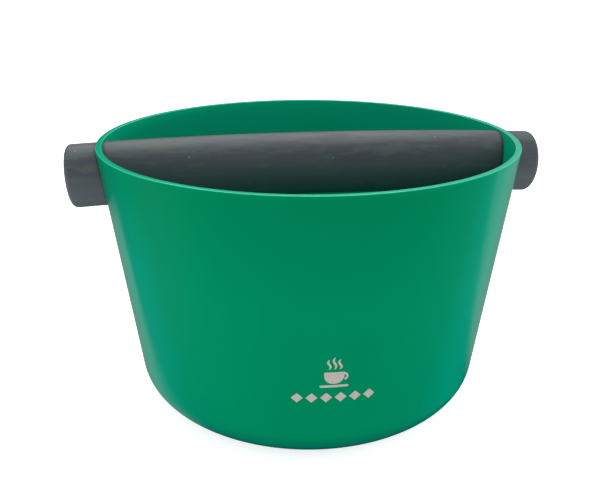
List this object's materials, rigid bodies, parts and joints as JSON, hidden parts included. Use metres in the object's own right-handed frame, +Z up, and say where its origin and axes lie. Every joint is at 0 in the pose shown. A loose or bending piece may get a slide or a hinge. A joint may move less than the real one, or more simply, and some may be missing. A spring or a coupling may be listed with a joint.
{
  "type": "espresso knock box",
  "caption": "Round tapered plastic bucket with an arched rubber-covered bar through two holes under its rim, for knocking spent coffee out of a portafilter basket.",
  "frame": {"origin": "centre of the plane that the box stands on, under the middle of the bucket", "axes": "+Z up, X along the bar, -Y towards the printed front of the bucket"},
  "size_m": [0.179, 0.1558, 0.101],
  "materials": {
    "green_plastic": "satin moulded ABS with a fine texture",
    "bar_rubber": "matt moulded rubber",
    "foot_rubber": "matt soft rubber",
    "steel": "drawn mild steel, hidden inside the bar",
    "print_ink": "thin screen-printed ink with a faint metallic sheen, in the visual model only"
  },
  "bodies": {
    "bucket_body": {"bucket": "green_plastic", "foot_ring": "foot_rubber"},
    "bar": {"bar_core": "steel", "bar_sleeve": "bar_rubber", "left_end_plug": "bar_rubber", "right_end_plug": "bar_rubber"}
  },
  "joints": [
    {"name": "bar_pull", "type": "hinge", "parent": "bucket_body", "child": "bar", "pos_m": [0, 0, -1.79774], "axis": [0, 1, 0], "range_deg": [-5.2, 5.2]}
  ]
}
